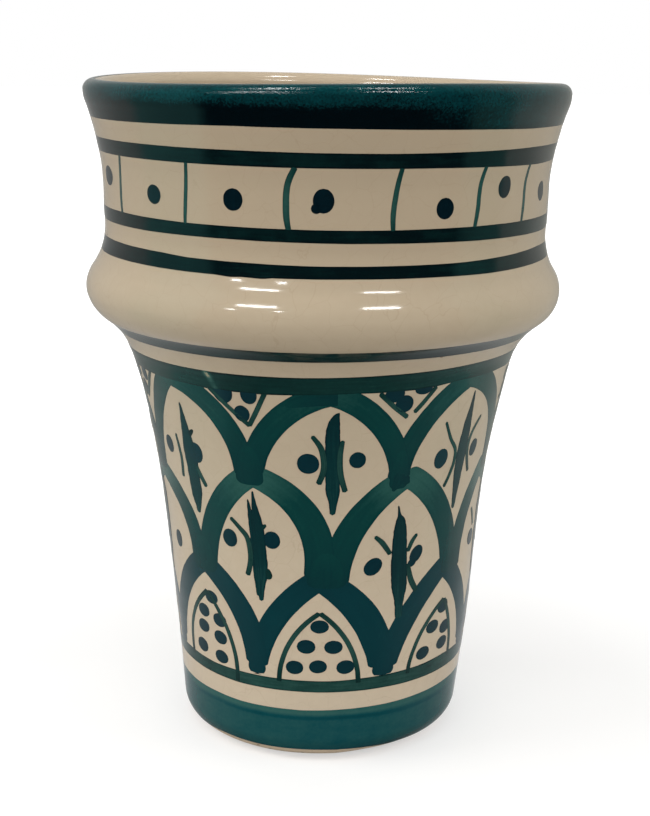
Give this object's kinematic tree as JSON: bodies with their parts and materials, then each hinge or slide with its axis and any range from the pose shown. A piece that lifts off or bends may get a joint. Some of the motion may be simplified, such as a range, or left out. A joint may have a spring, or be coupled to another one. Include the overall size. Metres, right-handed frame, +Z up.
{
  "type": "earthenware beaker",
  "caption": "Handleless tin-glazed earthenware beaker with a rolled bulge under a flared collar, painted with green bands, a dotted frieze and a field of scales.",
  "frame": {"origin": "centre of the foot's underside, on the surface the beaker stands on", "axes": "+Z up along the axis the beaker was thrown on; -Y is the side the picture shows; +X to its right"},
  "size_m": [0.0804, 0.0804, 0.1102],
  "materials": {
    "clay": "bare fired clay, matt, turned foot",
    "cream_glaze": "glossy warm cream tin glaze with faint crazing",
    "green_paint": "brushed teal green under gloss, streaky where the brush ran thin",
    "dark_green_paint": "dense dark green line paint under gloss",
    "ink_paint": "dark blue-green dabs and strokes under gloss"
  },
  "bodies": {
    "root": {"clay_body": "clay", "outer_glaze": "cream_glaze", "inner_glaze": "cream_glaze", "rim_band": "green_paint", "frieze_upper_line": "dark_green_paint", "frieze_lower_line": "dark_green_paint", "shoulder_line": "dark_green_paint", "waist_line": "dark_green_paint", "head_band": "dark_green_paint", "base_line": "dark_green_paint", "foot_band": "green_paint", "frieze_dividers": "dark_green_paint", "frieze_dots": "ink_paint", "upper_scales": "green_paint", "middle_scales": "green_paint", "lower_scales": "green_paint", "upper_leaf_stems": "ink_paint", "middle_leaf_stems": "ink_paint", "leaf_sprigs": "dark_green_paint", "leaf_dots": "ink_paint", "gable_lines": "dark_green_paint", "seed_dots": "ink_paint", "corner_chevrons": "dark_green_paint", "corner_dots": "ink_paint"}
  },
  "joints": []
}
